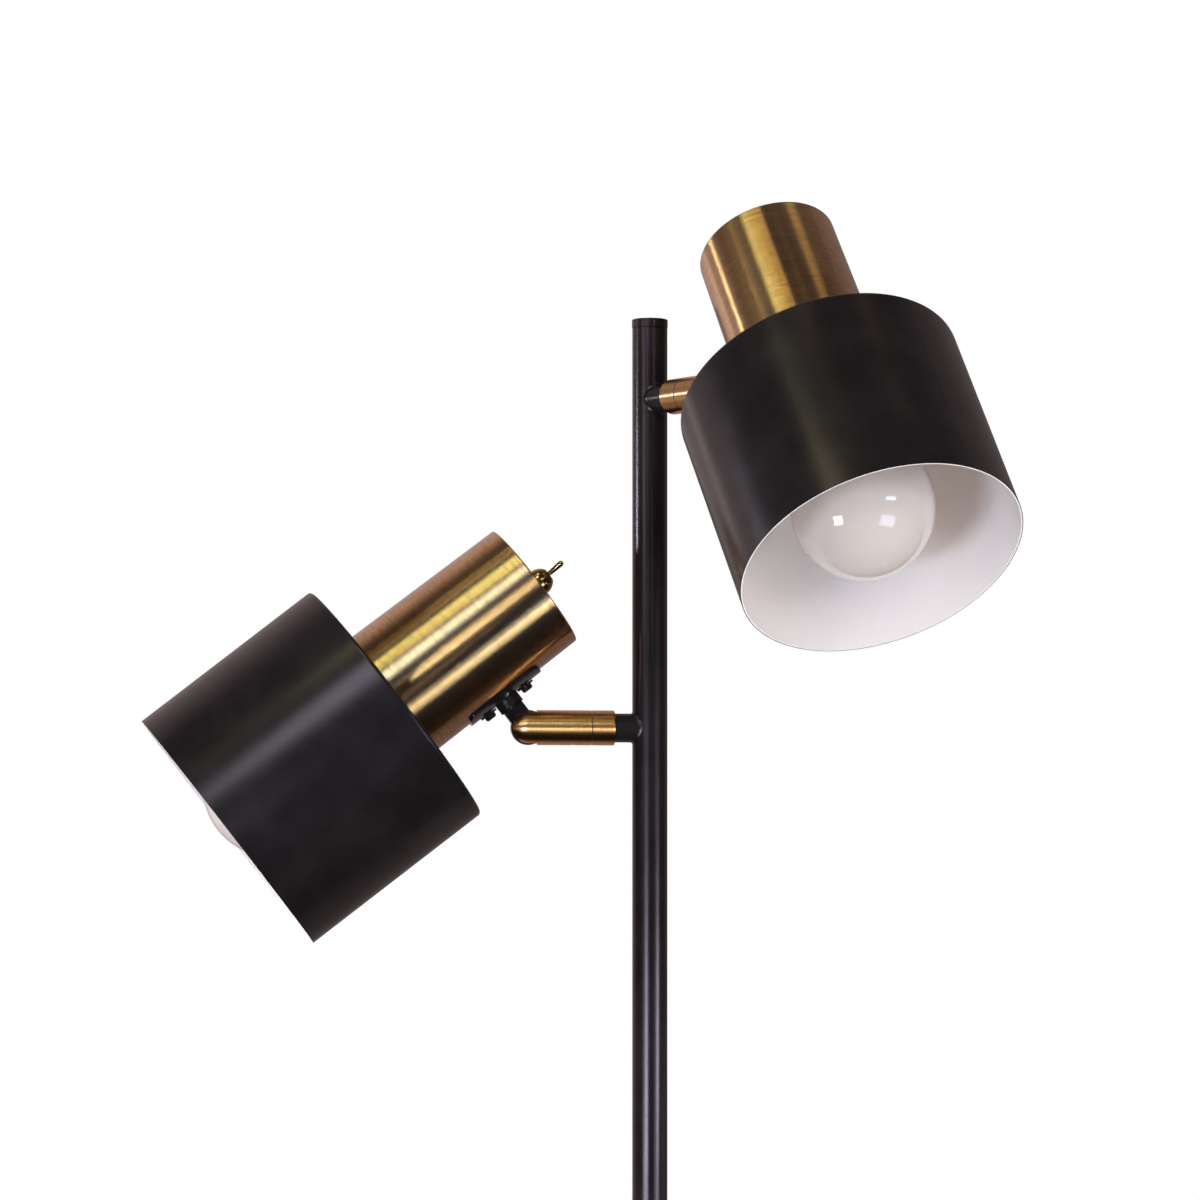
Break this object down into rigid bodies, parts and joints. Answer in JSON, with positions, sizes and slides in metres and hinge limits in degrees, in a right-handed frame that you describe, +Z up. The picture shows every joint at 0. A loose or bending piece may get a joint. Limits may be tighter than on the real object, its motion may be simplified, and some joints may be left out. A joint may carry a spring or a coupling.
{
  "type": "two-head spot floor lamp",
  "caption": "Free-standing floor lamp: a black pole on a round weighted base, with two tilting and swivelling spot heads of brass neck and black drum shade.",
  "frame": {"origin": "centre of the felt's underside, on the floor under the pole", "axes": "+Z up the pole; +X to the right and +Y away from the viewer in the pictured view"},
  "size_m": [0.4635, 0.3618, 1.6004],
  "materials": {
    "satin_black": "satin black powder coat",
    "shade_paint": "satin black outside, white inside",
    "arm_brass": "brushed, lacquered",
    "antique_brass": "brushed round the axis, antique",
    "switch_brass": "polished, dark antique",
    "black_hardware": "gloss black",
    "zinc_steel": "zinc plated",
    "cast_iron": "primed",
    "felt": "pressed felt",
    "black_rubber": "matt",
    "porcelain": "glazed white",
    "opal_glass": "opal white",
    "nickel": "nickel plated",
    "black_plastic": "moulded"
  },
  "bodies": {
    "stand": {"base_felt": "felt", "base_weight": "cast_iron", "base_cover": "satin_black", "base_nut": "zinc_steel", "base_stem": "zinc_steel", "flex_gland": "black_rubber", "pole_foot": "satin_black", "pole_bottom": "satin_black", "pole_middle": "satin_black", "pole_top": "satin_black", "lower_coupling": "zinc_steel", "upper_coupling": "zinc_steel", "pole_cap": "satin_black", "inner_flex": "black_rubber", "upper_stub": "satin_black", "upper_collar": "arm_brass", "upper_swivel_stud": "zinc_steel", "lower_stub": "satin_black", "lower_collar": "arm_brass", "lower_swivel_stud": "zinc_steel"},
    "upper_arm": {"upper_barrel": "arm_brass", "upper_stop_screw": "zinc_steel", "upper_pivot_screw": "arm_brass"},
    "upper_head": {"upper_tongue": "black_hardware", "upper_big_washer": "black_hardware", "upper_spacer": "black_hardware", "upper_saddle": "black_hardware", "upper_saddle_washers": "black_hardware", "upper_saddle_screws": "black_hardware", "upper_backing": "zinc_steel", "upper_neck": "antique_brass", "upper_bridge": "zinc_steel", "upper_shade": "shade_paint", "upper_lampholder": "porcelain", "upper_ring_nut": "porcelain", "upper_bulb_glass": "opal_glass", "upper_bulb_cap": "nickel", "upper_switch_body": "black_plastic", "upper_switch_nut": "switch_brass"},
    "upper_lever": {"upper_switch_lever": "switch_brass"},
    "lower_arm": {"lower_barrel": "arm_brass", "lower_stop_screw": "zinc_steel", "lower_pivot_screw": "arm_brass"},
    "lower_head": {"lower_tongue": "black_hardware", "lower_big_washer": "black_hardware", "lower_spacer": "black_hardware", "lower_saddle": "black_hardware", "lower_saddle_washers": "black_hardware", "lower_saddle_screws": "black_hardware", "lower_backing": "zinc_steel", "lower_neck": "antique_brass", "lower_bridge": "zinc_steel", "lower_shade": "shade_paint", "lower_lampholder": "porcelain", "lower_ring_nut": "porcelain", "lower_bulb_glass": "opal_glass", "lower_bulb_cap": "nickel", "lower_switch_body": "black_plastic", "lower_switch_nut": "switch_brass"},
    "lower_lever": {"lower_switch_lever": "switch_brass"}
  },
  "joints": [
    {"name": "upper_swivel", "type": "hinge", "parent": "stand", "child": "upper_arm", "pos_m": [0, 0, 1.5065], "axis": [0.6293, -0.7771, 0], "range_deg": [-157, 173]},
    {"name": "upper_tilt", "type": "hinge", "parent": "upper_arm", "child": "upper_head", "pos_m": [0.04154, -0.05129, 1.5065], "axis": [0.7696, 0.6232, -0.1392], "range_deg": [-40.6, 44.4]},
    {"name": "upper_switch", "type": "hinge", "parent": "upper_head", "child": "upper_lever", "pos_m": [0.06166, -0.05946, 1.5812], "axis": [-0.33, 0.7481, -0.5757], "range_deg": [-23.2, 0]},
    {"name": "lower_swivel", "type": "hinge", "parent": "stand", "child": "lower_arm", "pos_m": [0, 0, 1.329], "axis": [-0.9945, -0.1045, 0], "range_deg": [-163, 167]},
    {"name": "lower_tilt", "type": "hinge", "parent": "lower_arm", "child": "lower_head", "pos_m": [-0.06564, -0.0069, 1.329], "axis": [0.1045, -0.9939, -0.0349], "range_deg": [-22.8, 62.2]},
    {"name": "lower_switch", "type": "hinge", "parent": "lower_head", "child": "lower_lever", "pos_m": [-0.06042, -0.00907, 1.40659], "axis": [0.6107, -0.2031, -0.7654], "range_deg": [-23.2, 0]}
  ]
}
